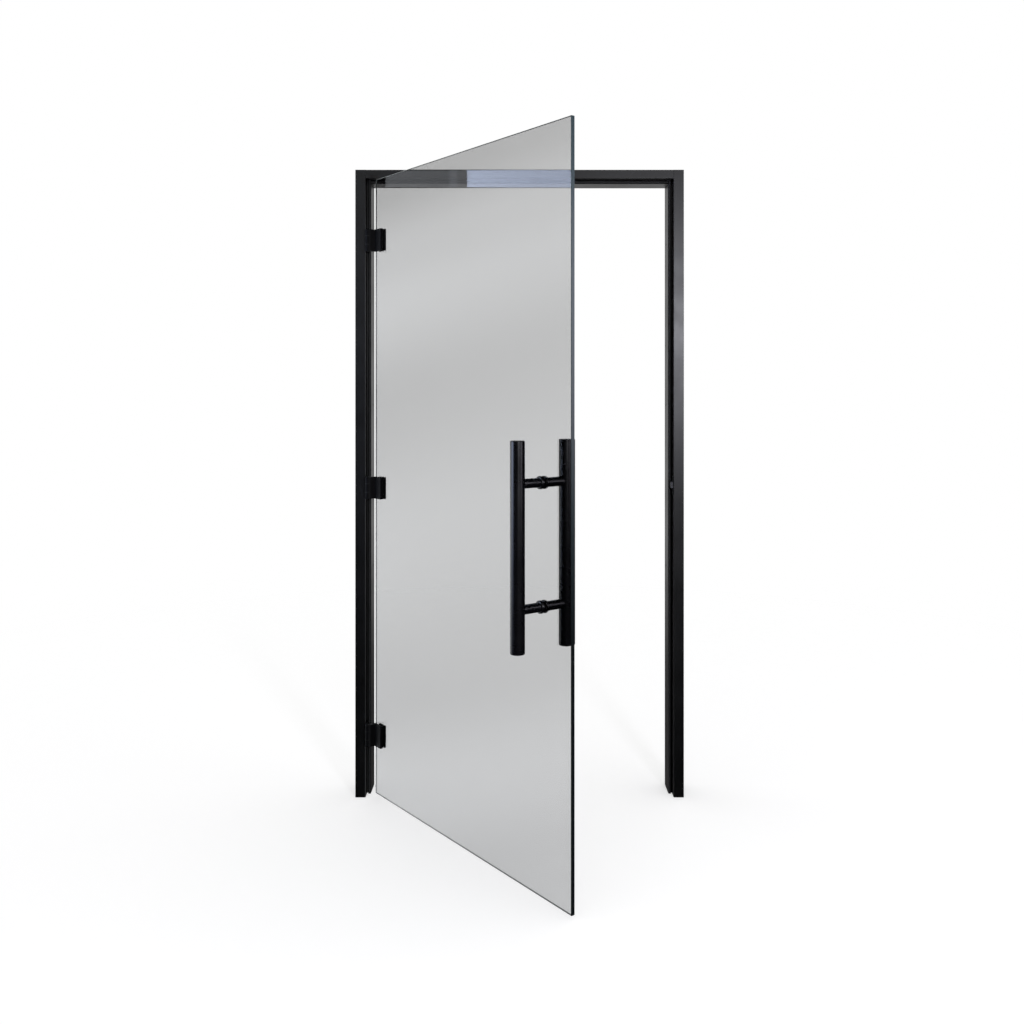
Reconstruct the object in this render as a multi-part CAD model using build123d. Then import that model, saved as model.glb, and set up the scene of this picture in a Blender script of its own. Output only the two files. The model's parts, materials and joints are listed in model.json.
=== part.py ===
from build123d import *
import os

# Glass door in a black three-sided frame. X runs to the right, Y away from the opening side, Z up.
# The origin is on the floor, midway between the jambs, in the plane of the frame's front face.
# All lengths are in millimetres and all angles in degrees.

# Frame
frame_width = 1064
frame_height = 2032
frame_depth = 114
frame_wall = 2.5
frame_edge_radius = 1.2
rebate_depth = 40
jamb_face = 33
jamb_stop = 13
header_face = 28
header_stop = 10

# Slot in the stop's front face, and the bulb seal that is pushed into it
seal_inset = 4.5
slot_mouth = 2.5
slot_width = 4.4
slot_lip = 1.5
slot_depth = 3
seal_clearance = 0.15
seal_bulb_radius = 4.4
seal_wall = 1
seal_gap = 0.5

# Wall anchors, through both sides of each jamb behind the stop, shared out between the outer hinges
anchor_radius = 4.25
anchor_depth = 85
anchor_shares = (0, 1 / 3, 2 / 3, 1)

# Screws that draw the header between the jambs
port_radius = 5
port_overlap = 1
port_height_share = 0.5
header_screw_radius = 2.1
header_screw_length = 30
header_screw_head_radius = 3.8
header_screw_head = 2.8
access_radius = 6
thread_clearance = 0.05
shank_clearance = 0.3

# Leaf
glass_thickness = 12
glass_setback = 18
hinge_gap = 7
strike_gap = 6
top_gap = 3.5
floor_gap = 12
glass_arris = 1
rest_opening = 52.8

# Hinges
upper_hinge_drop = 230
lower_hinge_rise = 205
hinge_height = 70
pivot_forward = 12
knuckle_radius = 8
knuckle_clearance = 0.3
middle_knuckle = 26
pin_radius = 4
pin_edge = 1
pin_fit = 0.02
running_clearance = 0.05
bush_radius = 5.5
bush_flange_radius = 7.5
bush_flange = 1
axial_play = 0.1
hinge_plate = 4
hinge_plate_margin = 2
hinge_plate_radius = 5
arm_root = 12
block_start = 1
web_clearance = 0.6
plate_start = 12
block_reach = 48
block_front = 8
block_radius = 2.5
clamp_plate = 6
clamp_edge = 1.2
gasket = 1
gasket_inset = 1
sleeve_hole_radius = 7
sleeve_clearance = 0.2
hinge_screw_radius = 3
hinge_screw_head_radius = 6
hinge_screw_head = 3
hinge_screw_spacing = 44
frame_screw_length = 14
clamp_screw_spacing = 40
clamp_screw_place = 30
clamp_screw_grip = 7
nut_plate = 4
nut_plate_width = 20
nut_plate_height = 60
socket_width_share = 0.9
socket_depth_share = 0.7

# Ladder pull
bar_radius = 19
bar_wall = 2
bar_length = 540
bar_centres = 166
pull_height = 920
pull_edge_distance = 119
post_radius = 12.5
post_spacing = 320
spigot_radius = 6
spigot_depth = 5
saddle_clearance = 0.1
collar_radius = 17
collar_length = 8
collar_round = 4
collar_edge = 0.5
washer_radius = 15
washer_thickness = 1.5
stud_radius = 5
stud_engagement = 25
stud_clearance = 0.2
bushing_hole_radius = 8
bushing_clearance = 0.2
grub_radius = 2.5
grub_place = 8
grub_recess = 0.6
cap_thickness = 3
cap_edge = 2.5
cap_plug = 8
cap_clearance = 0.1

# Roller catch in the strike jamb
catch_height = 1011
roller_radius = 6.5
roller_length = 20
roller_edge = 1
roller_reach = 9
roller_setback = 11.5
axle_radius = 2
fork_gap = 0.3
fork_arm = 3
fork_shoulder = 1.7
fork_width = 12
fork_tip_radius = 4
fork_web = 6
fork_web_gap = 1
catch_clearance = 0.3
catch_wall = 2
catch_travel = 5
spring_flat_height = 3
spring_thickness = 0.8
spring_width = 9
spring_span_share = 0.85
spring_seat = 0.1
catch_plate = 2
catch_plate_height = 64
catch_plate_back = 26
catch_plate_front = 3.5
catch_screw_radius = 2
catch_screw_head_radius = 3.8
catch_screw_head = 1.8
catch_screw_length = 8
catch_screw_spacing = 52

# One overrun serves every cut
cut_over = 5

# Places worked out from the sizes above
half_width = frame_width / 2
rebate_side = half_width - jamb_face
stop_side = rebate_side - jamb_stop
header_soffit = frame_height - header_face
glass_front = glass_setback
glass_back = glass_setback + glass_thickness
glass_middle = glass_setback + glass_thickness / 2
glass_left = -rebate_side + hinge_gap
glass_right = rebate_side - strike_gap
glass_top = header_soffit - top_gap
pivot_x = -rebate_side + knuckle_radius + knuckle_clearance
pivot_y = -pivot_forward
upper_hinge = frame_height - upper_hinge_drop
middle_hinge = (upper_hinge + lower_hinge_rise) / 2
hinge_heights = {"upper": upper_hinge, "middle": middle_hinge, "lower": lower_hinge_rise}
hinge_span = upper_hinge - lower_hinge_rise
anchor_heights = [lower_hinge_rise + share * hinge_span for share in anchor_shares]
port_rear = frame_depth - frame_wall - port_radius + port_overlap
port_front = rebate_depth - port_radius + port_overlap
pull_x = glass_right - pull_edge_distance
post_heights = (pull_height - post_spacing / 2, pull_height + post_spacing / 2)
bar_bottom = pull_height - bar_length / 2
bar_top = pull_height + bar_length / 2
bar_offset = bar_centres / 2


def slab(x0, x1, y0, y1):
    """A rectangle given by its two corners."""
    return Pos((x0 + x1) / 2, (y0 + y1) / 2) * Rectangle(x1 - x0, y1 - y0)


def prism(sketch, bottom, top):
    """A plan outline carried up from one height to another."""
    return extrude(Pos(0, 0, bottom) * sketch, amount=top - bottom)


def rod_x(radius, y, z, x0, x1):
    """A round bar along X."""
    return Pos((x0 + x1) / 2, y, z) * Rot(0, 90, 0) * Cylinder(radius, abs(x1 - x0))


def rod_y(radius, x, z, y0, y1):
    """A round bar along Y."""
    return Pos(x, (y0 + y1) / 2, z) * Rot(90, 0, 0) * Cylinder(radius, abs(y1 - y0))


def rod_z(radius, x, y, z0, z1):
    """A round bar along Z."""
    return Pos(x, y, (z0 + z1) / 2) * Cylinder(radius, abs(z1 - z0))


def turned(points):
    """A turned piece: a half section in the XZ plane, spun about Z."""
    return revolve(make_face(Plane.XZ * Polyline(*points, close=True)), Axis.Z)


def countersunk_screw(head_radius, radius, head, length):
    """A countersunk socket screw with its head's top at the origin, pointing down."""
    body = turned([(0, 0), (head_radius, 0), (radius, -head), (radius, -length), (0, -length)])
    depth = head * socket_depth_share
    socket = extrude(RegularPolygon(radius * socket_width_share, 6), amount=-depth)
    return body - socket


def pan_screw(head_radius, radius, head, length):
    """A plain pan-head screw whose head seats at the origin, pointing down."""
    return turned(
        [(0, head), (head_radius, head), (head_radius, 0), (radius, 0), (radius, -length), (0, -length)]
    )


def swung(piece):
    """A piece of the leaf, modelled shut, turned about the pins to where the leaf stands open."""
    return Pos(pivot_x, pivot_y) * Rot(0, 0, -rest_opening) * Pos(-pivot_x, -pivot_y) * piece


def mirrored(piece):
    """The same piece on the other side of the doorway."""
    return mirror(piece, Plane.YZ)


def solids(pieces):
    """Separate like pieces kept together as one group."""
    return Compound(children=[solid for piece in pieces for solid in piece.solids()])


# Frame


def member_section(face, stop, ports):
    """The extrusion's section: distance in from the outer side along X, depth from the front along Y."""
    reach = face + stop
    outline = make_face(
        Polyline(
            (0, 0),
            (face, 0),
            (face, rebate_depth),
            (reach, rebate_depth),
            (reach, frame_depth),
            (0, frame_depth),
            close=True,
        )
    )
    inner_corner = Vector(face, rebate_depth)
    outline = fillet(outline.vertices().sort_by_distance(inner_corner)[1:], frame_edge_radius)
    slot = reach - seal_inset
    lip = rebate_depth + slot_lip
    floor = lip + slot_depth
    front_chamber = slab(frame_wall, face - frame_wall, frame_wall, rebate_depth)
    rear_chamber = slab(frame_wall, reach - frame_wall, rebate_depth + frame_wall, frame_depth - frame_wall)
    pocket = slab(slot - slot_width / 2 - frame_wall, reach, rebate_depth, floor + frame_wall)
    bosses = [Pos(*port) * Circle(port_radius) for port in ports]
    section = outline - (front_chamber - bosses) - (rear_chamber - pocket - bosses)
    section -= slab(slot - slot_mouth / 2, slot + slot_mouth / 2, rebate_depth - cut_over, lip)
    section -= slab(slot - slot_width / 2, slot + slot_width / 2, lip, floor)
    section -= [Pos(*port) * Circle(header_screw_radius + thread_clearance) for port in ports]
    return section


def seal_section(reach):
    """The bulb seal's section in the same axes: a barbed foot, a neck and a hollow bulb."""
    slot = reach - seal_inset
    lip = rebate_depth + slot_lip
    foot = slot_width / 2 - seal_clearance
    neck = slot_mouth / 2 - seal_clearance
    bulb_y = glass_back + seal_gap + seal_bulb_radius
    section = Pos(slot, bulb_y) * Circle(seal_bulb_radius)
    section += slab(slot - neck, slot + neck, bulb_y, lip + seal_clearance)
    section += slab(slot - foot, slot + foot, lip + seal_clearance, lip + slot_depth - seal_clearance)
    return section - Pos(slot, bulb_y) * Circle(seal_bulb_radius - seal_wall)


jamb_section = member_section(jamb_face, jamb_stop, [])
front_port = (header_face * port_height_share, port_front)
rear_port = ((header_face + header_stop) * port_height_share, port_rear)
header_ports = [front_port, rear_port]
port_ends = [(front_port, rebate_side), (rear_port, stop_side)]


def plain_jamb():
    """The jamb on the hinge side, with its wall anchor holes and the holes for the header's screws."""
    jamb = prism(Pos(-half_width, 0) * jamb_section, 0, frame_height)
    inner = -stop_side + cut_over
    outer = -half_width - cut_over
    jamb -= [rod_x(anchor_radius, anchor_depth, height, outer, inner) for height in anchor_heights]
    for (drop, depth), side in port_ends:
        height = frame_height - drop
        jamb -= rod_x(header_screw_radius + shank_clearance, depth, height, outer, -side + cut_over)
        jamb -= rod_x(access_radius, depth, height, outer, -half_width + frame_wall + frame_edge_radius)
    return jamb


def across(section, half_length):
    """A section turned to hang from the frame's top and carried across the doorway."""
    bar = extrude(section, amount=half_length * 2)
    return Pos(-half_length, 0, frame_height) * Rot(0, 90, 0) * bar


def header():
    """The header, coped to the jambs: full length in front of the stops, shorter between them."""
    bar = across(member_section(header_face, header_stop, header_ports), rebate_side)
    cope = slab(stop_side, rebate_side + cut_over, rebate_depth, frame_depth + cut_over)
    cope = prism(cope, header_soffit - header_stop - cut_over, frame_height + cut_over)
    return bar - cope - mirrored(cope)


def header_screws():
    """Two screws at each end: the head bears inside the jamb and the shank runs into the header's port."""
    left = []
    for (drop, depth), side in port_ends:
        screw = pan_screw(
            header_screw_head_radius, header_screw_radius, header_screw_head, header_screw_length
        )
        left.append(Pos(-side - frame_wall, depth, frame_height - drop) * Rot(0, -90, 0) * screw)
    return solids(left + [mirrored(screw) for screw in left])


def jamb_seal():
    """The hinge side's bulb seal, from the floor to the header's rebate."""
    return prism(Pos(-half_width, 0) * seal_section(jamb_face + jamb_stop), 0, header_soffit)


def header_seal():
    """The header's bulb seal, fitted between the two upright ones."""
    bulb_side = stop_side + seal_inset - seal_bulb_radius
    return across(seal_section(header_face + header_stop), bulb_side - seal_clearance)


# Hinges

hinge_screw_y = rebate_depth / 2
hinge_screw_drops = (-hinge_screw_spacing / 2, hinge_screw_spacing / 2)
clamp_screw_drops = (-clamp_screw_spacing / 2, clamp_screw_spacing / 2)
clamp_screw_x = pivot_x + clamp_screw_place
block_left = pivot_x + block_start
plate_left = pivot_x + plate_start
block_right = pivot_x + block_reach
block_back = glass_front - gasket
plate_front = glass_back + gasket
plate_back = plate_front + clamp_plate
outer_knuckle = middle_knuckle / 2 + bush_flange + axial_play
half_hinge = hinge_height / 2


def knuckle():
    """The knuckle's circle in plan."""
    return Pos(pivot_x, pivot_y) * Circle(knuckle_radius)


def with_arm(outline):
    """A knuckle joined to the piece that carries it by the straight tangents of both."""
    return make_hull((knuckle() + outline).edges())


def frame_arm():
    """The frame plate's knuckle and arm in plan."""
    front = hinge_plate_margin
    return with_arm(slab(-rebate_side, -rebate_side + hinge_plate, front, front + arm_root))


def hinge_frame_leaf():
    """Plate on the rebate's side, drawn forward at mid height into one knuckle for the pin."""
    left = -rebate_side
    right = left + hinge_plate
    outline = RectangleRounded(rebate_depth - hinge_plate_margin * 2, hinge_height, hinge_plate_radius)
    plate = Plane.YZ * Pos(hinge_screw_y, 0) * outline
    leaf = extrude(Pos(left, 0) * plate, amount=hinge_plate)
    leaf += prism(frame_arm(), -middle_knuckle / 2, middle_knuckle / 2)
    leaf -= rod_z(pin_radius + pin_fit, pivot_x, pivot_y, -half_hinge, half_hinge)
    for drop in hinge_screw_drops:
        leaf -= Pos(right, hinge_screw_y, drop) * Rot(0, 90, 0) * countersink(hinge_plate)
    return leaf


def countersink(thickness):
    """The cutter for a countersunk hinge screw through a plate, mouth at the origin, bore pointing down."""
    bore = hinge_screw_radius + shank_clearance
    mouth = hinge_screw_head_radius + shank_clearance
    end = -thickness - cut_over
    return turned(
        [(0, cut_over), (mouth, cut_over), (mouth, 0), (bore, -hinge_screw_head), (bore, end), (0, end)]
    )


def hinge_screw(length):
    """A countersunk hinge screw of the given length."""
    return countersunk_screw(hinge_screw_head_radius, hinge_screw_radius, hinge_screw_head, length)


def hinge_pin():
    """The pin, with its ends eased."""
    pin = rod_z(pin_radius, pivot_x, pivot_y, -half_hinge, half_hinge)
    return chamfer(pin.edges().filter_by(GeomType.CIRCLE), pin_edge)


def hinge_nut_plate():
    """The tapped plate behind the jamb's wall that the frame screws pull on."""
    inner = -rebate_side - frame_wall
    plate = slab(
        inner - nut_plate,
        inner,
        hinge_screw_y - nut_plate_width / 2,
        hinge_screw_y + nut_plate_width / 2,
    )
    plate = prism(plate, -nut_plate_height / 2, nut_plate_height / 2)
    tapped = hinge_screw_radius + thread_clearance
    ends = (inner - nut_plate - cut_over, inner + cut_over)
    return plate - [rod_x(tapped, hinge_screw_y, drop, *ends) for drop in hinge_screw_drops]


def hinge_glass_leaf():
    """Front clamp block with a knuckle at its top and its foot, each reached by a tapering arm. A web between the
    arms stops just short of the frame's knuckle, and of its arm when the leaf is shut."""
    block = slab(block_left, block_right, block_front, block_back)
    right_corners = block.vertices().group_by(Axis.X)[-1]
    rounded = fillet(right_corners.sort_by(Axis.Y)[0], block_radius)
    root = slab(block_left, block_left + arm_root, block_front, block_back)
    arm = with_arm(root)
    armed = arm + rounded
    web = arm - offset(frame_arm(), web_clearance)
    leaf = prism(armed, -half_hinge, -outer_knuckle) + prism(armed, outer_knuckle, half_hinge)
    leaf += prism(rounded + web, -outer_knuckle, outer_knuckle)
    leaf -= rod_z(bush_radius, pivot_x, pivot_y, -half_hinge - cut_over, half_hinge + cut_over)
    tapped = hinge_screw_radius + thread_clearance
    ends = (block_back + cut_over, block_back - clamp_screw_grip - thread_clearance)
    return leaf - [rod_y(tapped, clamp_screw_x, drop, *ends) for drop in clamp_screw_drops]


def hinge_clamp_plate():
    """Rear clamp plate with its back edges bevelled and its screw heads countersunk."""
    plate = prism(slab(plate_left, block_right, plate_front, plate_back), -half_hinge, half_hinge)
    plate = chamfer(plate.faces().sort_by(Axis.Y)[-1].edges(), clamp_edge)
    for drop in clamp_screw_drops:
        plate -= Pos(clamp_screw_x, plate_back, drop) * Rot(-90, 0, 0) * countersink(clamp_plate)
    return plate


def hinge_gasket_pair():
    """Two thin fibre gaskets, one each side of the glass."""
    bore = hinge_screw_radius + shank_clearance
    pair = []
    for left, front, back in ((block_left, block_back, glass_front), (plate_left, glass_back, plate_front)):
        sheet = slab(left + gasket_inset, block_right - gasket_inset, front, back)
        sheet = prism(sheet, -half_hinge + gasket_inset, half_hinge - gasket_inset)
        ends = (front - cut_over, back + cut_over)
        pair.append(sheet - [rod_y(bore, clamp_screw_x, drop, *ends) for drop in clamp_screw_drops])
    return pair


def hinge_sleeve_pair():
    """Two sleeves that keep the clamp screws off the glass."""
    bore = hinge_screw_radius + shank_clearance
    outer = sleeve_hole_radius - sleeve_clearance
    ends = (glass_front - cut_over, glass_back + cut_over)
    pair = []
    for drop in clamp_screw_drops:
        sleeve = rod_y(outer, clamp_screw_x, drop, glass_front, glass_back)
        pair.append(sleeve - rod_y(bore, clamp_screw_x, drop, *ends))
    return pair


def hinge_bush_pair():
    """Two flanged bushes in the outer knuckles: they turn on the pin and carry the leaf's weight."""
    outer = bush_radius - pin_fit
    inner = pin_radius + running_clearance
    foot = middle_knuckle / 2 + axial_play
    bush = turned(
        [
            (inner, foot),
            (bush_flange_radius, foot),
            (bush_flange_radius, outer_knuckle),
            (outer, outer_knuckle),
            (outer, half_hinge),
            (inner, half_hinge),
        ]
    )
    bush = Pos(pivot_x, pivot_y) * bush
    return [bush, mirror(bush, Plane.XY)]


def clamp_screw_pair():
    """Two screws from the back, through plate and glass, into the front block."""
    length = plate_back - block_back + clamp_screw_grip
    screw = Rot(-90, 0, 0) * hinge_screw(length)
    return [Pos(clamp_screw_x, plate_back, drop) * screw for drop in clamp_screw_drops]


def frame_screw_pair():
    """Two screws through the frame plate and the jamb's wall into the nut plate."""
    screw = Rot(0, 90, 0) * hinge_screw(frame_screw_length)
    return [Pos(-rebate_side + hinge_plate, hinge_screw_y, drop) * screw for drop in hinge_screw_drops]


def hinge_jamb():
    """The hinge jamb, drilled for the hinges' frame screws."""
    jamb = plain_jamb()
    bore = hinge_screw_radius + shank_clearance
    ends = (-rebate_side - frame_wall - cut_over, -rebate_side + cut_over)
    for height in hinge_heights.values():
        jamb -= [rod_x(bore, hinge_screw_y, height + drop, *ends) for drop in hinge_screw_drops]
    return jamb


# Leaf


def glass_panel():
    """The toughened pane: ground edges, and holes for the hinge clamps and the pull."""
    pane = prism(slab(glass_left, glass_right, glass_front, glass_back), floor_gap, glass_top)
    pane = chamfer(pane.edges().filter_by(Axis.Y, reverse=True), glass_arris)
    ends = (glass_front - cut_over, glass_back + cut_over)
    for height in hinge_heights.values():
        pane -= [rod_y(sleeve_hole_radius, clamp_screw_x, height + d, *ends) for d in clamp_screw_drops]
    return pane - [rod_y(bushing_hole_radius, pull_x, height, *ends) for height in post_heights]


# Ladder pull. The front half is modelled, and the rear half is the same pieces across the glass.

bar_y = glass_middle - bar_offset
washer_front = glass_front - washer_thickness
collar_front = washer_front - collar_length
stud_front = collar_front - stud_engagement


def behind(piece):
    """The same piece on the other face of the glass."""
    return mirror(piece, Plane.XZ.offset(-glass_middle))


def pull_bar():
    """The tube, with a hole for each post's spigot in the side that faces the glass."""
    bar = rod_z(bar_radius, pull_x, bar_y, bar_bottom + cap_thickness, bar_top - cap_thickness)
    bar -= rod_z(bar_radius - bar_wall, pull_x, bar_y, bar_bottom, bar_top)
    bore = spigot_radius + saddle_clearance
    ends = (bar_y, bar_y + bar_radius + cut_over)
    return bar - [rod_y(bore, pull_x, height, *ends) for height in post_heights]


def bar_caps():
    """A cap at each end of the tube, with a plug that fits its bore."""
    plug = bar_radius - bar_wall - cap_clearance
    cap = Cylinder(bar_radius, cap_thickness, align=(Align.CENTER, Align.CENTER, Align.MIN))
    cap = fillet(cap.edges().group_by(Axis.Z)[-1], cap_edge)
    cap += Cylinder(plug, cap_plug, align=(Align.CENTER, Align.CENTER, Align.MAX))
    top = Pos(pull_x, bar_y, bar_top - cap_thickness) * cap
    foot = Pos(pull_x, bar_y, bar_bottom + cap_thickness) * Rot(180, 0, 0) * cap
    return [top, foot]


def post(height):
    """A post, saddled to the tube with a spigot in it, and bored for the through stud."""
    body = rod_y(post_radius, pull_x, height, bar_y, collar_front)
    body -= rod_z(bar_radius + saddle_clearance, pull_x, bar_y, bar_bottom, bar_top)
    body += rod_y(spigot_radius, pull_x, height, bar_y + bar_radius - bar_wall - spigot_depth, stud_front)
    bore = stud_radius + thread_clearance
    return body - rod_y(bore, pull_x, height, stud_front - thread_clearance, collar_front + cut_over)


def rear_post(height):
    """A rear post, tapped from below for the grub screw that locks the stud."""
    body = behind(post(height))
    y = grub_y()
    return body - rod_z(grub_radius + thread_clearance, pull_x, y, height - post_radius - cut_over, height)


def grub_y():
    """Where the grub screws stand: a little way out from the rear collars."""
    return glass_middle * 2 - collar_front + grub_place


def grub_screw(height):
    """A grub screw, from just inside the post's skin up to the stud."""
    foot = height - post_radius + grub_recess
    body = rod_z(grub_radius, pull_x, grub_y(), foot, height - stud_radius - thread_clearance)
    depth = (post_radius - stud_radius) * socket_depth_share / 2
    socket = Pos(pull_x, grub_y(), foot) * RegularPolygon(grub_radius * socket_width_share, 6)
    return body - extrude(socket, amount=depth)


def collar(height):
    """The round collar between post and washer: it swells out from the post and is eased at the glass."""
    ring = rod_y(collar_radius, pull_x, height, collar_front, washer_front)
    ring = fillet(ring.edges().filter_by(GeomType.CIRCLE).sort_by(Axis.Y)[0], collar_round)
    ring = chamfer(ring.edges().filter_by(GeomType.CIRCLE).sort_by(Axis.Y)[-1], collar_edge)
    bore = stud_radius + stud_clearance
    return ring - rod_y(bore, pull_x, height, collar_front - cut_over, washer_front + cut_over)


def washer(height):
    """The soft washer between collar and glass."""
    disc = rod_y(washer_radius, pull_x, height, washer_front, glass_front)
    bore = stud_radius + stud_clearance
    return disc - rod_y(bore, pull_x, height, washer_front - cut_over, glass_front + cut_over)


def glass_bushing(height):
    """The sleeve that keeps the stud off the glass."""
    sleeve = rod_y(bushing_hole_radius - bushing_clearance, pull_x, height, glass_front, glass_back)
    bore = stud_radius + stud_clearance
    return sleeve - rod_y(bore, pull_x, height, glass_front - cut_over, glass_back + cut_over)


def through_stud(height):
    """The threaded stud that draws both halves of the pull together."""
    return rod_y(stud_radius, pull_x, height, stud_front, glass_middle * 2 - stud_front)


# Roller catch, modelled with its axle at the axis it turns on

axle_x = rebate_side - roller_reach + roller_radius
axle_y = roller_setback
half_roller = roller_length / 2
half_opening = half_roller + fork_gap + fork_arm + catch_clearance
half_fork = half_roller + fork_gap + fork_arm + fork_shoulder
half_pocket = roller_radius + catch_clearance
web_front = axle_x + roller_radius + fork_web_gap
web_back = web_front + fork_web
pocket_back = web_back + catch_travel + spring_flat_height
case_back = pocket_back + catch_wall
catch_screw_drops = (-catch_screw_spacing / 2, catch_screw_spacing / 2)
catch_front = rebate_side - catch_plate


def case_outline(grow):
    """The case's plan outline behind the rebate's side, grown by the given amount."""
    return slab(
        rebate_side - cut_over,
        case_back + grow,
        axle_y - half_pocket - catch_wall / 2 - grow,
        axle_y + half_pocket + catch_wall / 2 + grow,
    )


def catch_housing():
    """A case let into the jamb, with a screwed face plate whose mouth holds the fork in."""
    half_case = half_fork + catch_clearance + catch_wall
    case = prism(case_outline(0), -half_case, half_case)
    case &= prism(slab(rebate_side, case_back, 0, rebate_depth), -half_case, half_case)
    face = Plane.YZ * Pos((catch_plate_front + catch_plate_back) / 2, 0) * RectangleRounded(
        catch_plate_back - catch_plate_front, catch_plate_height, catch_wall
    )
    case += extrude(Pos(catch_front, 0) * face, amount=catch_plate)
    half_room = half_fork + catch_clearance
    room = slab(rebate_side, pocket_back, axle_y - half_pocket, axle_y + half_pocket)
    mouth = slab(catch_front - cut_over, rebate_side, axle_y - half_pocket, axle_y + half_pocket)
    case -= prism(room, -half_room, half_room)
    case -= prism(mouth, -half_opening, half_opening)
    for drop in catch_screw_drops:
        case -= Pos(catch_front, axle_y, drop) * Rot(0, -90, 0) * catch_screw_cutter()
    return Pos(0, 0, catch_height) * case


def catch_screw_cutter():
    """The cutter for a countersunk catch screw, with its mouth at the origin and its bore pointing down."""
    bore = catch_screw_radius + thread_clearance
    mouth = catch_screw_head_radius + thread_clearance
    end = -catch_screw_length
    return turned(
        [(0, cut_over), (mouth, cut_over), (mouth, 0), (bore, -catch_screw_head), (bore, end), (0, end)]
    )


def catch_screws():
    """The two screws that hold the face plate to the jamb."""
    screw = countersunk_screw(
        catch_screw_head_radius, catch_screw_radius, catch_screw_head, catch_screw_length
    )
    screw = Rot(0, -90, 0) * screw
    return solids([Pos(catch_front, axle_y, catch_height + drop) * screw for drop in catch_screw_drops])


def strike_jamb():
    """The strike jamb, cut out for the catch's case and tapped for its screws."""
    jamb = mirrored(plain_jamb())
    half_case = half_fork + catch_clearance * 2 + catch_wall
    jamb -= prism(case_outline(catch_clearance), catch_height - half_case, catch_height + half_case)
    bore = catch_screw_radius + thread_clearance
    ends = (rebate_side - cut_over, rebate_side + frame_wall + cut_over)
    return jamb - [rod_x(bore, axle_y, catch_height + drop, *ends) for drop in catch_screw_drops]


def catch_plunger():
    """A fork: two arms that hold the axle, shoulders that stop in the case's mouth, and a web behind."""
    arm_inner = half_roller + fork_gap
    arm_outer = arm_inner + fork_arm
    half = fork_width / 2
    tip = Pos(axle_x, axle_y) * Circle(fork_tip_radius)
    tip += slab(axle_x, web_front, axle_y - fork_tip_radius, axle_y + fork_tip_radius)
    shoulder_front = rebate_side + thread_clearance
    shoulder = slab(shoulder_front, web_back, axle_y - half, axle_y + half)
    fork = prism(tip, -arm_outer, arm_outer) + prism(shoulder, -half_fork, half_fork)
    room = slab(axle_x - cut_over - roller_radius, web_front, axle_y - half, axle_y + half)
    fork -= prism(room, -arm_inner, arm_inner)
    fork -= rod_z(axle_radius + pin_fit, axle_x, axle_y, -half_fork, half_fork)
    return Pos(0, 0, catch_height) * fork


def catch_roller_pin():
    """The roller's axle, flush with the fork's arms."""
    half = half_roller + fork_gap + fork_arm
    return rod_z(axle_radius, axle_x, axle_y, catch_height - half, catch_height + half)


def catch_roller():
    """The roller, with its rims eased."""
    roller = rod_z(roller_radius, axle_x, axle_y, catch_height - half_roller, catch_height + half_roller)
    roller = chamfer(roller.edges().filter_by(GeomType.CIRCLE), roller_edge)
    ends = (catch_height - roller_length, catch_height + roller_length)
    return roller - rod_z(axle_radius + running_clearance, axle_x, axle_y, *ends)


def catch_spring():
    """A bow of spring strip between the fork's web and the back of the case."""
    span = half_fork * spring_span_share
    front = web_back + spring_seat
    back = pocket_back - spring_seat
    outer = ThreePointArc((front, -span), (back, 0), (front, span))
    inner_span = span - spring_thickness
    inner = ThreePointArc((front, inner_span), (back - spring_thickness, 0), (front, -inner_span))
    ends = [Line(outer @ 1, inner @ 0), Line(inner @ 1, outer @ 0)]
    bow = make_face(Plane.XZ * (Curve() + [outer, inner] + ends))
    bow = extrude(bow, amount=spring_width / 2, both=True)
    return Pos(0, axle_y, catch_height) * bow


# The nodes

nodes = {
    "hinge_jamb": hinge_jamb(),
    "strike_jamb": strike_jamb(),
    "header": header(),
    "header_screws": header_screws(),
    "hinge_jamb_seal": jamb_seal(),
    "strike_jamb_seal": mirrored(jamb_seal()),
    "header_seal": header_seal(),
    "glass_panel": swung(glass_panel()),
    "catch_housing": catch_housing(),
    "catch_screws": catch_screws(),
    "catch_spring": catch_spring(),
    "catch_plunger": catch_plunger(),
    "catch_roller_pin": catch_roller_pin(),
    "catch_roller": catch_roller(),
    "front_pull_bar": swung(pull_bar()),
    "rear_pull_bar": swung(behind(pull_bar())),
}

caps = bar_caps()
collars = [collar(height) for height in post_heights]
washers = [washer(height) for height in post_heights]
pull_groups = {
    "bar_end_caps": caps + [behind(cap) for cap in caps],
    "front_posts": [post(height) for height in post_heights],
    "rear_posts": [rear_post(height) for height in post_heights],
    "post_collars": collars + [behind(piece) for piece in collars],
    "glass_washers": washers + [behind(piece) for piece in washers],
    "glass_bushings": [glass_bushing(height) for height in post_heights],
    "through_studs": [through_stud(height) for height in post_heights],
    "grub_screws": [grub_screw(height) for height in post_heights],
}
for name, pieces in pull_groups.items():
    nodes[name] = solids([swung(piece) for piece in pieces])

frame_screws = []
nut_plates = []
gaskets = []
sleeves = []
bushes = []
for place, height in hinge_heights.items():
    lift = Pos(0, 0, height)
    nodes[f"{place}_hinge_frame_leaf"] = lift * hinge_frame_leaf()
    nodes[f"{place}_hinge_pin"] = lift * hinge_pin()
    nodes[f"{place}_hinge_glass_leaf"] = lift * swung(hinge_glass_leaf())
    nodes[f"{place}_hinge_clamp_plate"] = lift * swung(hinge_clamp_plate())
    nodes[f"{place}_hinge_clamp_screws"] = solids([lift * swung(screw) for screw in clamp_screw_pair()])
    frame_screws += [lift * screw for screw in frame_screw_pair()]
    nut_plates.append(lift * hinge_nut_plate())
    gaskets += [lift * swung(piece) for piece in hinge_gasket_pair()]
    sleeves += [lift * swung(piece) for piece in hinge_sleeve_pair()]
    bushes += [lift * swung(piece) for piece in hinge_bush_pair()]
nodes["hinge_frame_screws"] = solids(frame_screws)
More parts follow.
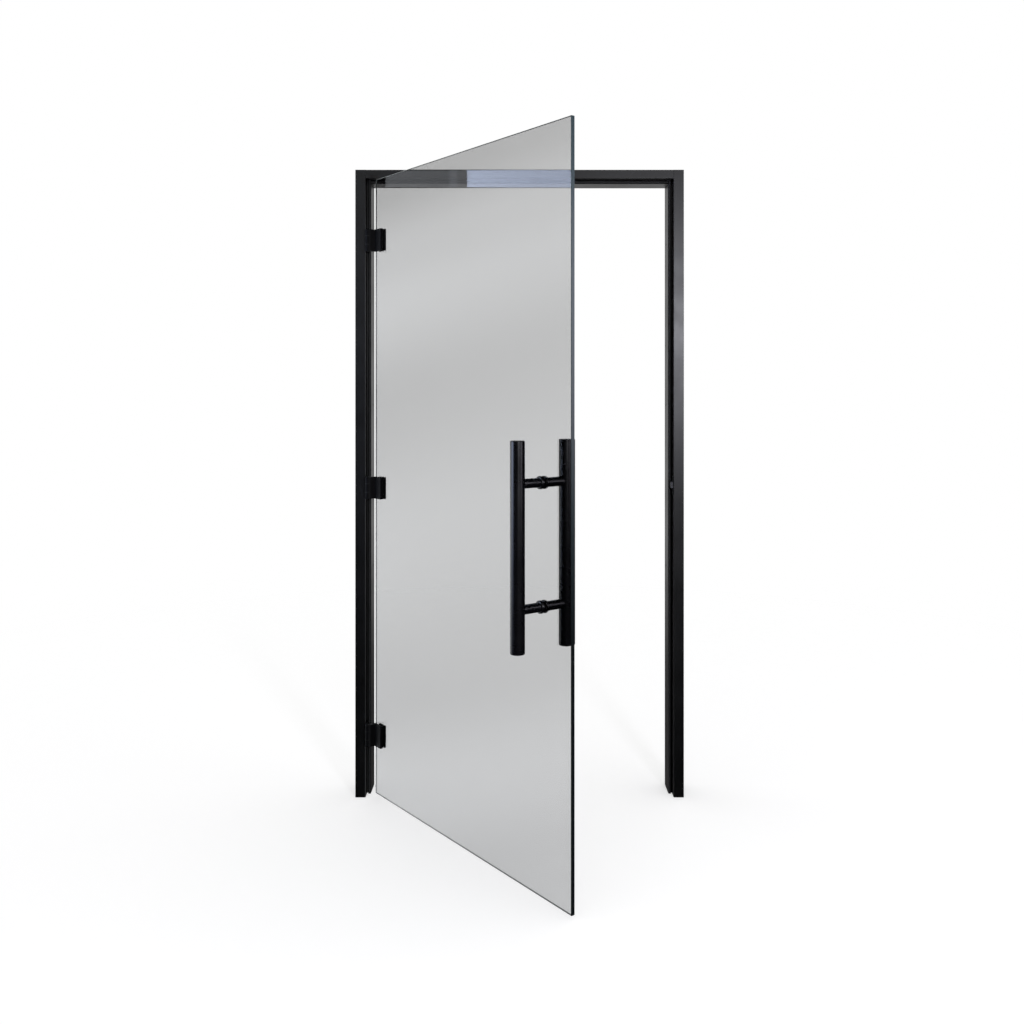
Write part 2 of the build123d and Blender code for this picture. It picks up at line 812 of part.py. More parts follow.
nodes["hinge_nut_plates"] = solids(nut_plates)
nodes["hinge_gaskets"] = solids(gaskets)
nodes["hinge_sleeves"] = solids(sleeves)
nodes["hinge_bushes"] = solids(bushes)

os.makedirs("parts", exist_ok=True)
for name, piece in nodes.items():
    export_step(piece, f"parts/{name}.step")
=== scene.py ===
import json
import math

import bpy
import numpy as np
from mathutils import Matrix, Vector

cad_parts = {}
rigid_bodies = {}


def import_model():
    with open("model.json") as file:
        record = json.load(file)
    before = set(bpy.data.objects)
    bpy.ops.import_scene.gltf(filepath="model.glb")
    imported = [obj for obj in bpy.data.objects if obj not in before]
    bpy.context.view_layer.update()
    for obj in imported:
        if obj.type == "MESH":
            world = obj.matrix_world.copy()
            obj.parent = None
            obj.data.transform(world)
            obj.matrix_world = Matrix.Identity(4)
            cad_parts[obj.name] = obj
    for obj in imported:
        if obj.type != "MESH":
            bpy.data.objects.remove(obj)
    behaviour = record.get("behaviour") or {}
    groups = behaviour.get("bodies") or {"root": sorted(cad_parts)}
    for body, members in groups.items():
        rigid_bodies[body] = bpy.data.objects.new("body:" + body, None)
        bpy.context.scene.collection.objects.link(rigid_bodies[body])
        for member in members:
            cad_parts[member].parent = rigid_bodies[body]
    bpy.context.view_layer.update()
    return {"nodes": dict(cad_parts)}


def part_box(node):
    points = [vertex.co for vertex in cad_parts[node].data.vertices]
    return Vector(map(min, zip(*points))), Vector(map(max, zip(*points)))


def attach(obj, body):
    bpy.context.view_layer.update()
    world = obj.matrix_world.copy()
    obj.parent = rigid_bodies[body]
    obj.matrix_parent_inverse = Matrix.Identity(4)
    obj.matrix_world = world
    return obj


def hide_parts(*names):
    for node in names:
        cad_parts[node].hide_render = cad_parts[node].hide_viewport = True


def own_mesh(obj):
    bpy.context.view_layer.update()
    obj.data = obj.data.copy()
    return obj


for leftover in list(bpy.data.objects):
    bpy.data.objects.remove(leftover)
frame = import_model()

bl_info = {
    "name": "Glass door in a black frame",
    "version": (1, 0, 0),
    "blender": (4, 5, 0),
    "location": "View3D > Sidebar > Glass door",
    "description": "Finishes a tinted glass door with its coated frame, hinges, pull and catch",
    "category": "Object",
}

# All lengths are in metres. X runs to the right, Y away from the side that the leaf opens to, Z up.
MM = 0.001


def linear(code):
    """An sRGB hex colour as linear red, green, blue and alpha."""
    levels = np.array([int(code[i : i + 2], 16) for i in (1, 3, 5)]) / 255
    low = levels / 12.92
    high = ((levels + 0.055) / 1.055) ** 2.4
    return (*np.where(levels <= 0.04045, low, high).tolist(), 1.0)


def grain(size_mm):
    """The noise scale whose features are about that many millimetres across."""
    return 1 / (size_mm * MM)


def middle(name):
    """The middle of a node's box at rest, in plan."""
    low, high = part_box(name)
    return np.array(low[:2]) / 2 + np.array(high[:2]) / 2


# The leaf's own directions in plan: ACROSS runs through the pane from front to back, ALONG to its free edge.
ACROSS = middle("rear_pull_bar") - middle("front_pull_bar")
ACROSS /= np.linalg.norm(ACROSS)
ALONG = np.array([ACROSS[1], -ACROSS[0]])

# A face of the pane whose normal lies this close to ACROSS, as a cosine, is clear. The others are ground.
CLEAR_FACE = 0.9
# How near to the pane's end or foot a ground face belongs to it.
EDGE_REACH = 2 * MM


class DoorFinish(bpy.types.PropertyGroup):
    """Colours and sizes of the finishes."""

    frame_coat: bpy.props.FloatVectorProperty(
        name="Frame coat",
        description="Colour of the powder coat on the frame",
        subtype="COLOR",
        size=4,
        min=0,
        max=1,
        default=linear("#070708"),
    )
    steel_coat: bpy.props.FloatVectorProperty(
        name="Steel coat",
        description="Colour of the coat on the hinges, the pull and the catch",
        subtype="COLOR",
        size=4,
        min=0,
        max=1,
        default=linear("#07070a"),
    )
    rubber: bpy.props.FloatVectorProperty(
        name="Seal rubber",
        description="Colour of the bulb seals",
        subtype="COLOR",
        size=4,
        min=0,
        max=1,
        default=linear("#0f0f10"),
    )
    nylon: bpy.props.FloatVectorProperty(
        name="Roller nylon",
        description="Colour of the catch's roller",
        subtype="COLOR",
        size=4,
        min=0,
        max=1,
        default=linear("#45454b"),
    )
    glass_tint: bpy.props.FloatVectorProperty(
        name="Glass tint",
        description="Colour that the glass lets through when it is very thick",
        subtype="COLOR",
        size=4,
        min=0,
        max=1,
        default=linear("#0a1418"),
    )
    glass_density: bpy.props.FloatProperty(
        name="Glass density",
        description="How strongly the tint absorbs light, for each metre of glass",
        min=0,
        default=46.5,
    )
    # Painted shade: this colour is painted on the pane's free edge and foot to stand in for the light seen
    # along the glass's depth, and the glass material paints it darker towards the foot.
    painted_edge_shade: bpy.props.FloatVectorProperty(
        name="Glass edge",
        description="Colour of the pane's free edge, which looks into the depth of the glass",
        subtype="COLOR",
        size=4,
        min=0,
        max=1,
        default=linear("#3e5058"),
    )
    glass_rim: bpy.props.FloatVectorProperty(
        name="Glass rim",
        description="Colour of the pane's other ground edges",
        subtype="COLOR",
        size=4,
        min=0,
        max=1,
        default=linear("#d6dcdc"),
    )
    tube_wall: bpy.props.FloatProperty(
        name="Tube wall",
        description="Wall of the pull's tubes",
        subtype="DISTANCE",
        unit="LENGTH",
        min=0.0005,
        default=2 * MM,
    )
    tube_ease: bpy.props.FloatProperty(
        name="Tube ease",
        description="How much the rims of the pull's tubes are eased, which shows as a hairline at each cap",
        subtype="DISTANCE",
        unit="LENGTH",
        min=0,
        default=0.3 * MM,
    )
    peel: bpy.props.FloatProperty(
        name="Orange peel",
        description="Width of the ripples in the powder coat",
        subtype="DISTANCE",
        unit="LENGTH",
        min=0.0002,
        default=1.6 * MM,
    )


class DoorStage(bpy.types.PropertyGroup):
    """Camera and light of the studio."""

    camera_place: bpy.props.FloatVectorProperty(
        name="Camera place",
        description="Where the camera stands, level and square to the frame",
        subtype="TRANSLATION",
        unit="LENGTH",
        size=3,
        default=(0, -3.329, 1.3152),
    )
    lens: bpy.props.FloatProperty(
        name="Lens",
        description="Focal length in millimetres on a 36 mm sensor",
        min=1,
        default=36.15,
    )
    shift: bpy.props.FloatVectorProperty(
        name="Shift",
        description="How far the picture's middle lies from the lens's axis, in picture widths",
        size=2,
        default=(-0.0074, -0.118),
    )
    ambient: bpy.props.FloatProperty(
        name="Ambient",
        description="Strength of the even light from all round",
        min=0,
        default=0.8,
    )
    floor_glow: bpy.props.FloatProperty(
        name="Floor glow",
        description="What is added to the lit floor where it is seen, so that it comes out white",
        min=0,
        default=0.51,
    )
    window_strength: bpy.props.FloatProperty(
        name="Window strength",
        description="Brightness of the window that the pane mirrors near its top",
        min=0,
        default=5.2,
    )
    strip_strength: bpy.props.FloatProperty(
        name="Strip strength",
        description="Brightness of the cool panel at the left that the pull mirrors",
        min=0,
        default=5.5,
    )
    side_strength: bpy.props.FloatProperty(
        name="Side strength",
        description="Brightness of the panel at the right that the pull mirrors",
        min=0,
        default=3.8,
    )
    band_strength: bpy.props.FloatProperty(
        name="Band strength",
        description="Brightness of the banded card that the pane mirrors",
        min=0,
        default=2,
    )
    key_power: bpy.props.FloatProperty(
        name="Key power",
        description="Power of the soft light beside the camera, in watts",
        subtype="POWER",
        unit="POWER",
        min=0,
        default=38,
    )


def add(tree, kind, inputs=None, **settings):
    """Add one node: settings are its properties, inputs its sockets, each given a value or another node's
    socket."""
    node = tree.nodes.new(kind)
    for name, value in settings.items():
        setattr(node, name, value)
    for key, value in (inputs or {}).items():
        if isinstance(value, bpy.types.NodeSocket):
            tree.links.new(value, node.inputs[key])
        else:
            node.inputs[key].default_value = value
    return node


def new_material(name):
    """An empty node material and its tree."""
    material = bpy.data.materials.new(name)
    material.use_nodes = True
    material.node_tree.nodes.clear()
    return material, material.node_tree


def lighter(colour, factor):
    """A colour made lighter or darker by a factor."""
    return (*[min(1, level * factor) for level in colour[:3]], 1)


def coated(name, colour, roughness, peel_mm, peel_depth, specular=0.5):
    """A sprayed coat: colour and gloss drift a little over the piece, and fine ripples break up
    reflections."""
    material, tree = new_material(name)
    place = add(tree, "ShaderNodeTexCoord").outputs["Object"]
    drift = add(tree, "ShaderNodeTexNoise", {"Vector": place, "Scale": grain(90), "Detail": 3})
    tone = add(
        tree,
        "ShaderNodeMix",
        {0: drift.outputs["Fac"], 6: lighter(colour, 0.75), 7: lighter(colour, 1.25)},
        data_type="RGBA",
    )
    gloss = add(
        tree,
        "ShaderNodeMapRange",
        {0: drift.outputs["Fac"], 1: 0.3, 2: 0.7, 3: roughness - 0.03, 4: roughness + 0.03},
    )
    ripple = add(tree, "ShaderNodeTexNoise", {"Vector": place, "Scale": grain(peel_mm), "Detail": 2})
    bump = add(
        tree,
        "ShaderNodeBump",
        {"Strength": 0.35, "Distance": peel_depth, "Height": ripple.outputs["Fac"]},
    )
    shader = add(
        tree,
        "ShaderNodeBsdfPrincipled",
        {
            "Base Color": tone.outputs[2],
            "Roughness": gloss.outputs[0],
            "Specular IOR Level": specular,
            "Normal": bump.outputs["Normal"],
        },
    )
    add(tree, "ShaderNodeOutputMaterial", {"Surface": shader.outputs["BSDF"]})
    return material


def powder_coated_aluminium(look):
    """Extruded aluminium under a polyester powder coat: satin black, with a faint orange peel."""
    return coated("powder_coated_aluminium", look.frame_coat, 0.35, look.peel / MM, 0.03 * MM)


def satin_coated_steel(look):
    """Steel tube under a thin satin lacquer: deeper black than the frame, with tighter highlights."""
    return coated("satin_coated_steel", look.steel_coat, 0.27, 0.9, 0.012 * MM)


def matt_coated_steel(look):
    """Machined steel under a matt electrophoretic coat: nearly no highlight, so the hinges read as plain
    black."""
    return coated("matt_coated_steel", lighter(look.steel_coat, 0.6), 0.6, 0.7, 0.015 * MM, specular=0.1)


def moulded_acetal(look):
    """Moulded black acetal: a little duller than the coats beside it, with the mould's fine texture."""
    return coated("moulded_acetal", look.rubber, 0.5, 0.6, 0.02 * MM)


def extruded_rubber(look):
    """Extruded EPDM rubber: dull black, with a fine drag texture and a trace of bloom."""
    material, tree = new_material("extruded_rubber")
    place = add(tree, "ShaderNodeTexCoord").outputs["Object"]
    bloom = add(tree, "ShaderNodeTexNoise", {"Vector": place, "Scale": grain(35), "Detail": 5})
    tone = add(
        tree,
        "ShaderNodeMix",
        {0: bloom.outputs["Fac"], 6: lighter(look.rubber, 0.7), 7: lighter(look.rubber, 1.6)},
        data_type="RGBA",
    )
    drag = add(tree, "ShaderNodeTexNoise", {"Vector": place, "Scale": grain(0.8), "Detail": 1})
    bump = add(
        tree,
        "ShaderNodeBump",
        {"Strength": 0.4, "Distance": 0.03 * MM, "Height": drag.outputs["Fac"]},
    )
    shader = add(
        tree,
        "ShaderNodeBsdfPrincipled",
        {"Base Color": tone.outputs[2], "Roughness": 0.72, "Normal": bump.outputs["Normal"]},
    )
    add(tree, "ShaderNodeOutputMaterial", {"Surface": shader.outputs["BSDF"]})
    return material


def turned_metal(name, colour, roughness):
    """Machined metal with a thin finish: tool marks show as fine variation in its gloss."""
    material, tree = new_material(name)
    place = add(tree, "ShaderNodeTexCoord").outputs["Object"]
    marks = add(tree, "ShaderNodeTexNoise", {"Vector": place, "Scale": grain(0.5), "Detail": 3})
    gloss = add(
        tree,
        "ShaderNodeMapRange",
        {0: marks.outputs["Fac"], 1: 0.3, 2: 0.7, 3: roughness - 0.07, 4: roughness + 0.07},
    )
    patch = add(tree, "ShaderNodeTexNoise", {"Vector": place, "Scale": grain(4), "Detail": 2})
    tone = add(
        tree,
        "ShaderNodeMix",
        {0: patch.outputs["Fac"], 6: lighter(colour, 0.8), 7: lighter(colour, 1.2)},
        data_type="RGBA",
    )
    shader = add(
        tree,
        "ShaderNodeBsdfPrincipled",
        {"Base Color": tone.outputs[2], "Metallic": 1.0, "Roughness": gloss.outputs[0]},
    )
    add(tree, "ShaderNodeOutputMaterial", {"Surface": shader.outputs["BSDF"]})
    return material


def turned_nylon(look):
    """Turned dark grey nylon: a soft sheen with fine marks from the tool."""
    return coated("turned_nylon", look.nylon, 0.42, 0.5, 0.02 * MM)


def tinted_float_glass(look):
    """Toughened float glass, tinted in the mass: clear faces with a faint roller wave and a few wiped smears.
    Its ground edges are pale. The free edge and the foot carry a painted dark colour that stands in for the
    light seen along the pane's length, with painted shade from black low down to blue-green higher up."""
    material, tree = new_material("tinted_float_glass")
    coordinates = add(tree, "ShaderNodeTexCoord")
    place = coordinates.outputs["Object"]
    points = mesh_points("glass_panel")
    foot, top = points[:, 2].min(), points[:, 2].max()
    free_edge = (points[:, :2] @ ALONG).max()
    facing = add(
        tree,
        "ShaderNodeVectorMath",
        {0: coordinates.outputs["Normal"], 1: (*ACROSS, 0)},
        operation="DOT_PRODUCT",
    )
    square = add(tree, "ShaderNodeMath", {0: facing.outputs["Value"]}, operation="ABSOLUTE")
    clear = add(tree, "ShaderNodeMath", {0: square.outputs[0], 1: CLEAR_FACE}, operation="GREATER_THAN")
    ground = add(tree, "ShaderNodeMath", {0: 1.0, 1: clear.outputs[0]}, operation="SUBTRACT")
    reach = add(tree, "ShaderNodeVectorMath", {0: place, 1: (*ALONG, 0)}, operation="DOT_PRODUCT")
    at_end = add(
        tree,
        "ShaderNodeMath",
        {0: reach.outputs["Value"], 1: free_edge - EDGE_REACH},
        operation="GREATER_THAN",
    )
    rise = add(tree, "ShaderNodeSeparateXYZ", {0: place})
    at_foot = add(tree, "ShaderNodeMath", {0: rise.outputs["Z"], 1: foot + EDGE_REACH}, operation="LESS_THAN")
    # Painted shade: the free edge and the foot take a dark colour that stands in for the light seen along the
    # glass, painted darker low down, to 0.12 of it below a third of the height.
    dark = add(tree, "ShaderNodeMath", {0: at_end.outputs[0], 1: at_foot.outputs[0]}, operation="MAXIMUM")
    share = add(tree, "ShaderNodeMapRange", {0: rise.outputs["Z"], 1: 0.35 * top, 2: 0.95 * top, 3: 0, 4: 1})
    edge = add(
        tree,
        "ShaderNodeMix",
        {0: share.outputs[0], 6: lighter(look.painted_edge_shade, 0.12), 7: look.painted_edge_shade},
        data_type="RGBA",
    )
    rim = add(
        tree,
        "ShaderNodeMix",
        {0: dark.outputs[0], 6: look.glass_rim, 7: edge.outputs[2]},
        data_type="RGBA",
    )
    tone = add(
        tree,
        "ShaderNodeMix",
        {0: ground.outputs[0], 6: (1, 1, 1, 1), 7: rim.outputs[2]},
        data_type="RGBA",
    )
    wave = add(
        tree,
        "ShaderNodeTexWave",
        {"Vector": place, "Scale": grain(300) / 20, "Distortion": 1.5, "Detail": 1},
        bands_direction="Z",
    )
    bump = add(
        tree,
        "ShaderNodeBump",
        {"Strength": 0.015, "Distance": 0.1 * MM, "Height": wave.outputs["Fac"]},
    )
    smear = add(tree, "ShaderNodeTexNoise", {"Vector": place, "Scale": grain(160), "Detail": 6})
    gloss = add(tree, "ShaderNodeMapRange", {0: smear.outputs["Fac"], 1: 0.55, 2: 0.8, 3: 0.0, 4: 0.012})
    roughness = add(
        tree,
        "ShaderNodeMath",
        {0: ground.outputs[0], 1: 0.3, 2: gloss.outputs[0]},
        operation="MULTIPLY_ADD",
    )
    shader = add(
        tree,
        "ShaderNodeBsdfPrincipled",
        {
            "Base Color": tone.outputs[2],
            "Roughness": roughness.outputs[0],
            "IOR": 1.52,
            "Transmission Weight": clear.outputs[0],
            "Normal": bump.outputs["Normal"],
        },
    )
    tint = add(
        tree,
        "ShaderNodeVolumeAbsorption",
        {"Color": look.glass_tint, "Density": look.glass_density},
    )
    add(
        tree,
        "ShaderNodeOutputMaterial",
        {"Surface": shader.outputs["BSDF"], "Volume": tint.outputs["Volume"]},
    )
    return material


def mesh_points(name):
    """All points of a node's mesh, one to a row."""
    mesh = frame["nodes"][name].data
    points = np.empty(len(mesh.vertices) * 3)
    mesh.vertices.foreach_get("co", points)
    return points.reshape(-1, 3)


def finish(material, *names):
    """Give CAD nodes a material."""
    for name in names:
        mesh = frame["nodes"][name].data
        mesh.materials.clear()
        mesh.materials.append(material)


HINGES = ("upper", "middle", "lower")


class DOOR_OT_frame(bpy.types.Operator):
    """Finish the jambs, the header and their screws"""

    bl_idname = "door.frame"
    bl_label = "Frame"

    def execute(self, context):
        look = context.scene.door_finish
        finish(powder_coated_aluminium(look), "hinge_jamb", "strike_jamb", "header")
        finish(turned_metal("zinc_plated_steel", linear("#b9bcc0"), 0.3), "header_screws", "hinge_nut_plates")
        finish(extruded_rubber(look), "hinge_jamb_seal", "strike_jamb_seal", "header_seal")
        return {"FINISHED"}


class DOOR_OT_glass(bpy.types.Operator):
    """Finish the pane"""

    bl_idname = "door.glass"
    bl_label = "Glass"

    def execute(self, context):
        finish(tinted_float_glass(context.scene.door_finish), "glass_panel")
        # Light goes straight through a real pane, but the renderer would give it a solid shadow.
        frame["nodes"]["glass_panel"].visible_shadow = False
        return {"FINISHED"}


class DOOR_OT_hinges(bpy.types.Operator):
    """Finish the three hinges"""

    bl_idname = "door.hinges"
    bl_label = "Hinges"

    def execute(self, context):
        look = context.scene.door_finish
        steel = matt_coated_steel(look)
        black = turned_metal("blackened_steel", linear("#2a2a2d"), 0.38)
        acetal = moulded_acetal(look)
        for place in HINGES:
            for part in ("frame_leaf", "glass_leaf", "clamp_plate"):
                finish(steel, f"{place}_hinge_{part}")
            finish(black, f"{place}_hinge_pin", f"{place}_hinge_clamp_screws")
        finish(black, "hinge_frame_screws")
        finish(acetal, "hinge_gaskets", "hinge_sleeves", "hinge_bushes")
        return {"FINISHED"}


def tube(name, node, wall, ease):
    """An upright tube in a node's place, with its rims eased. Each point is the axis + the profile's radius
    turned by an angle, at the profile's height: a closed profile of radius and height, spun once round."""
    low, high = (np.array(corner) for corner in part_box(node))
    outer = (high[0] - low[0]) / 2
    inner = outer - wall
    foot, top = low[2], high[2]
    radius = np.array([outer, outer, outer - ease, inner, inner, outer - ease])
    height = np.array([foot + ease, top - ease, top, top, foot, foot])
    angle = np.linspace(0, 2 * np.pi, 128, endpoint=False)
    rows, columns = len(radius), len(angle)
    axis = middle(node)
    x = axis[0] + np.outer(radius, np.cos(angle))
    y = axis[1] + np.outer(radius, np.sin(angle))
    z = np.repeat(height[:, None], columns, axis=1)
    row, column = np.meshgrid(np.arange(rows), np.arange(columns), indexing="ij")
    next_row, next_column = (row + 1) % rows, (column + 1) % columns
    around = [(row, column), (row, next_column), (next_row, next_column), (next_row, column)]
    faces = np.stack([r * columns + c for r, c in around], -1)
    mesh = bpy.data.meshes.new(name)
    mesh.from_pydata(np.stack([x, y, z], -1).reshape(-1, 3).tolist(), [], faces.reshape(-1, 4).tolist())
    mesh.shade_smooth()
    mesh.set_sharp_from_angle(angle=math.radians(30))
    piece = bpy.data.objects.new(name, mesh)
    bpy.context.scene.collection.objects.link(piece)
    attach(piece, "leaf")
    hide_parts(node)
    return piece


class DOOR_OT_pull(bpy.types.Operator):
    """Make the tubes of the ladder pull and finish both halves of it"""

    bl_idname = "door.pull"
    bl_label = "Ladder pull"

    def execute(self, context):
        look = context.scene.door_finish
        steel = satin_coated_steel(look)
        for side in ("front", "rear"):
            piece = tube(f"{side}_pull_tube", f"{side}_pull_bar", look.tube_wall, look.tube_ease)
            piece.data.materials.append(steel)
        finish(steel, "bar_end_caps", "front_posts", "rear_posts", "post_collars")
        finish(bpy.data.materials["moulded_acetal"], "glass_washers", "glass_bushings")
        finish(bpy.data.materials["blackened_steel"], "grub_screws")
        finish(bpy.data.materials["zinc_plated_steel"], "through_studs")
        return {"FINISHED"}


class DOOR_OT_catch(bpy.types.Operator):
    """Finish the roller catch and give its spring a mesh of its own"""

    bl_idname = "door.catch"
    bl_label = "Roller catch"

    def execute(self, context):
        look = context.scene.door_finish
        finish(bpy.data.materials["matt_coated_steel"], "catch_housing", "catch_plunger")
        finish(bpy.data.materials["blackened_steel"], "catch_screws")
        finish(bpy.data.materials["zinc_plated_steel"], "catch_roller_pin", "catch_spring")
        finish(turned_nylon(look), "catch_roller")
        # At the plunger's full travel the bow spring is pressed flat against the back of its case; here its
        # points are read and its mesh copied, and its shape stays as it is.
        reach = mesh_points("catch_spring")[:, 0]
        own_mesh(frame["nodes"]["catch_spring"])
        return {"FINISHED"}


# The studio: the floor's side, the drape's radius and height, and the side of the sheets that close it.
FLOOR = 60
DRAPE_RADIUS = 4.5
DRAPE_FOOT = -4
DRAPE_TOP = 5
SHEET = 10


def seen_directly(tree):
    """A socket that is 1 for rays that show the background: from the camera, in gloss and through glass."""
    path = add(tree, "ShaderNodeLightPath")
    first = add(
        tree,
        "ShaderNodeMath",
        {0: path.outputs["Is Camera Ray"], 1: path.outputs["Is Glossy Ray"]},
        operation="MAXIMUM",
    )
    both = add(
        tree,
        "ShaderNodeMath",
        {0: first.outputs[0], 1: path.outputs["Is Transmission Ray"]},
        operation="MAXIMUM",
    )
    return both.outputs[0]


def sheet_grid(name, points):
    """A piece of the stage from a grid of points: each cell of the grid is one face."""
    rows, columns = points.shape[:2]
    first = (np.arange(rows - 1)[:, None] * columns + np.arange(columns - 1)).ravel()
    faces = np.stack([first, first + 1, first + columns + 1, first + columns], 1)
    mesh = bpy.data.meshes.new(name)
    mesh.from_pydata(points.reshape(-1, 3).tolist(), [], faces.tolist())
    piece = bpy.data.objects.new(name, mesh)
    bpy.context.scene.collection.objects.link(piece)
    return piece


def flat_card(name, corner, first_side, second_side):
    """A flat piece of the stage: corner + u x first side + v x second side, for u and v from 0 to 1."""
    u, v = np.meshgrid([0, 1], [0, 1], indexing="ij")
    sides = u[..., None] * np.array(first_side) + v[..., None] * np.array(second_side)
    return sheet_grid(name, np.array(corner) + sides)


def only_in_reflections(piece, material):
    """Let a studio card show in glossy reflections and nowhere else."""
    piece.data.materials.append(material)
    material.cycles.emission_sampling = "NONE"
    piece.visible_camera = False
    piece.visible_diffuse = False
    piece.visible_volume_scatter = False
    piece.visible_shadow = False


def clear_to_a_direct_look(tree, card):
    """End a card's material so that reflections see it, also through the pane, but a plain look through the
    pane doesn't."""
    path = add(tree, "ShaderNodeLightPath")
    gap = add(tree, "ShaderNodeBsdfTransparent")
    seen = add(
        tree,
        "ShaderNodeMixShader",
        {0: path.outputs["Glossy Depth"], 1: gap.outputs[0], 2: card.outputs[0]},
    )
    add(tree, "ShaderNodeOutputMaterial", {"Surface": seen.outputs[0]})


def white_floor(stage):
    """Pale matt floor that comes out white and keeps soft shadows. It melts into the white room far away and
    stays out of reflections, so that black undersides stay black."""
    material, tree = new_material("white_floor")
    paint = add(tree, "ShaderNodeBsdfDiffuse", {"Color": linear("#cbcbcb")})
    glow = add(tree, "ShaderNodeMath", {0: seen_directly(tree), 1: stage.floor_glow}, operation="MULTIPLY")
    light = add(tree, "ShaderNodeEmission", {"Color": (1, 1, 1, 1), "Strength": glow.outputs[0]})
    lit = add(tree, "ShaderNodeAddShader", {0: paint.outputs[0], 1: light.outputs[0]})
    place = add(tree, "ShaderNodeTexCoord").outputs["Object"]
    distance = add(tree, "ShaderNodeVectorMath", {0: place}, operation="LENGTH").outputs["Value"]
    away = add(tree, "ShaderNodeMapRange", {0: distance, 1: 1.5, 2: 5.0}, interpolation_type="SMOOTHSTEP")
    path = add(tree, "ShaderNodeLightPath")
    clear = add(
        tree,
        "ShaderNodeMath",
        {0: away.outputs[0], 1: path.outputs["Glossy Depth"]},
        operation="MAXIMUM",
    )
    gap = add(tree, "ShaderNodeBsdfTransparent")
    both = add(tree, "ShaderNodeMixShader", {0: clear.outputs[0], 1: lit.outputs[0], 2: gap.outputs[0]})
    add(tree, "ShaderNodeOutputMaterial", {"Surface": both.outputs[0]})
    return material


def black_drape():
    """Black cloth hung round the studio, which keeps black pieces black. It is thin in two places, high up in
    front and behind, where the white room shows through it."""
    material, tree = new_material("black_drape")
    place = add(tree, "ShaderNodeSeparateXYZ", {0: add(tree, "ShaderNodeTexCoord").outputs["Object"]})
    aside = add(tree, "ShaderNodeMath", {0: place.outputs["X"]}, operation="ABSOLUTE")
    ahead, behind, side, near = (
        add(
            tree,
            "ShaderNodeMapRange",
            {0: where, 1: start, 2: end, 3: low, 4: high},
            interpolation_type="SMOOTHSTEP",
        ).outputs[0]
        for where, start, end, low, high in (
            (place.outputs["Z"], 1.5, 4.4, 0, 1),
            (place.outputs["Z"], -1.0, 0.6, 0.08, 0.6),
            (place.outputs["Y"], -1.0, 1.0, 0, 1),
            (aside.outputs[0], 1.6, 2.8, 1, 0),
        )
    )
    both = add(tree, "ShaderNodeMix", {0: side, 2: ahead, 3: behind}, data_type="FLOAT")
    thin = add(tree, "ShaderNodeMath", {0: both.outputs[0], 1: near}, operation="MULTIPLY")
    cloth = add(tree, "ShaderNodeEmission", {"Color": (0, 0, 0, 1), "Strength": 0.0})
    gap = add(tree, "ShaderNodeBsdfTransparent")
    mixed = add(tree, "ShaderNodeMixShader", {0: thin.outputs[0], 1: cloth.outputs[0], 2: gap.outputs[0]})
    clear_to_a_direct_look(tree, mixed)
    return material


def plain_black():
    """Black cloth that nothing shows through."""
    material, tree = new_material("plain_black")
    clear_to_a_direct_look(tree, add(tree, "ShaderNodeEmission", {"Color": (0, 0, 0, 1), "Strength": 0.0}))
    return material


def banded_card(name, strength, slant, low, high):
    """A pale card with soft bands of light and shade, which the pane mirrors. The bands lie square to the
    slant, between two places along it."""
    material, tree = new_material(name)
    place = add(tree, "ShaderNodeTexCoord").outputs["Object"]
    along = add(tree, "ShaderNodeVectorMath", {0: place, 1: slant}, operation="DOT_PRODUCT")
    share = add(tree, "ShaderNodeMapRange", {0: along.outputs["Value"], 1: low, 2: high, 3: 0, 4: 1})
    ramp = add(tree, "ShaderNodeValToRGB", {0: share.outputs[0]})
    ramp.color_ramp.interpolation = "EASE"
    stops = ramp.color_ramp.elements
    places = (0, 0.126, 0.21, 0.22, 0.335, 0.524, 0.689, 0.799, 0.855, 0.934, 1)
    levels = (0.66, 0.66, 0.93, 0.93, 0.494, 0.77, 0.39, 0.79, 0.58, 0, 0)
    for position in places[1:-1]:
        stops.new(position)
    for stop, level in zip(stops, levels):
        stop.color = (level * 0.97, level, level * 1.03, 1)
    glow = add(tree, "ShaderNodeEmission", {"Color": ramp.outputs[0], "Strength": strength})
    clear_to_a_direct_look(tree, glow)
    return material


def window_glow(strength):
    """A narrow bright window at one side, with dim panes beyond its post, which the pane mirrors near its
    top."""
    material, tree = new_material("window_glow")
    place = add(tree, "ShaderNodeSeparateXYZ", {0: add(tree, "ShaderNodeTexCoord").outputs["Object"]})
    share = add(tree, "ShaderNodeMapRange", {0: place.outputs["Y"], 1: -0.4, 2: 0.46, 3: 0, 4: 1})
    ramp = add(tree, "ShaderNodeValToRGB", {0: share.outputs[0]})
    ramp.color_ramp.interpolation = "CONSTANT"
    stops = ramp.color_ramp.elements
    stops[1].position = 0.64
    stops[0].color = linear("#d8e4ff")
    stops[1].color = linear("#65676a")
    stops.new(0.545).color = linear("#6b6c6f")
    stops.new(0.599).color = linear("#787b80")
    glow = add(tree, "ShaderNodeEmission", {"Color": ramp.outputs[0], "Strength": strength})
    clear_to_a_direct_look(tree, glow)
    return material


def fading_glow(name, colour, strength, dark, bright):
    """A light panel that fades out downwards, from full at one height to nothing at another, for the long
    highlights on the pull."""
    material, tree = new_material(name)
    place = add(tree, "ShaderNodeSeparateXYZ", {0: add(tree, "ShaderNodeTexCoord").outputs["Object"]})
    level = add(
        tree,
        "ShaderNodeMapRange",
        {0: place.outputs["Z"], 1: dark, 2: bright, 3: 0, 4: strength},
        interpolation_type="SMOOTHSTEP",
    )
    glow = add(tree, "ShaderNodeEmission", {"Color": linear(colour), "Strength": level.outputs[0]})
    clear_to_a_direct_look(tree, glow)
    return material


